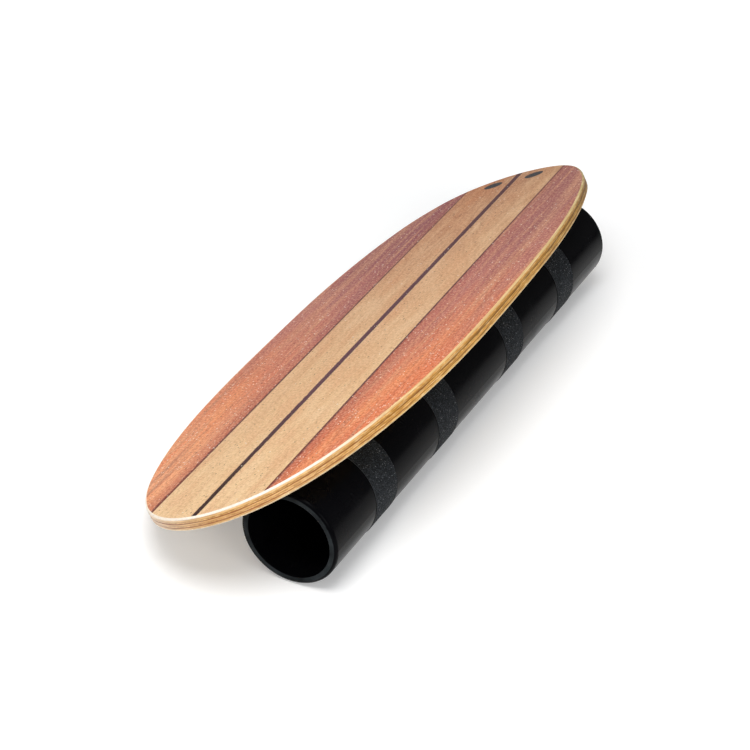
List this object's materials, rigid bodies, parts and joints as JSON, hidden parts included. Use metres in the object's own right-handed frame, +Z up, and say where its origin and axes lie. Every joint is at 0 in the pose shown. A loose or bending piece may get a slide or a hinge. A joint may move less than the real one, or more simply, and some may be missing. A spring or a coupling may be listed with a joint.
{
  "type": "balance board with roller",
  "caption": "Oval laminated balance deck with inlaid surfboard stripes, leaning on a long hollow roller with grip bands, so a rider can rock rail to rail.",
  "frame": {"origin": "on the floor, at the middle of the object's footprint", "axes": "+Z up, +Y along the roller from the deck's nose to its tail, +X towards the raised rail and the roller"},
  "size_m": [0.3325, 0.8852, 0.1791],
  "materials": {
    "roller_plastic": "satin",
    "grip_tape": "coarse matte",
    "veneer_pale": "satin",
    "ply_gold": "satin",
    "ply_brown": "satin",
    "face_maple": "satin",
    "face_red": "satin",
    "face_dark": "satin",
    "dot_slate": "matte",
    "stop_rubber": "matte",
    "screw_steel": "brushed"
  },
  "bodies": {
    "roller": {"roller_tube": "roller_plastic", "grip_band_1": "grip_tape", "grip_band_2": "grip_tape", "grip_band_3": "grip_tape", "grip_band_4": "grip_tape"},
    "deck": {"deck_ply_1": "veneer_pale", "deck_ply_2": "ply_gold", "deck_ply_3": "ply_brown", "deck_ply_4": "ply_gold", "deck_ply_5": "ply_brown", "deck_ply_6": "ply_gold", "deck_ply_7": "veneer_pale", "face_stringer": "face_dark", "face_field_left": "face_maple", "face_field_right": "face_maple", "face_line_left": "face_dark", "face_line_right": "face_dark", "face_band_left": "face_red", "face_band_right": "face_red", "tail_dot_left": "dot_slate", "tail_dot_right": "dot_slate", "stop_rail_left": "stop_rubber", "stop_rail_right": "stop_rubber", "stop_screws_left": "screw_steel", "stop_screws_right": "screw_steel"}
  },
  "joints": [
    {"name": "deck_rock", "type": "hinge", "parent": "roller", "child": "deck", "pos_m": [0.08323, 0, 0.05775], "axis": [0, 1, 0], "range_deg": [0, 77.5]}
  ]
}
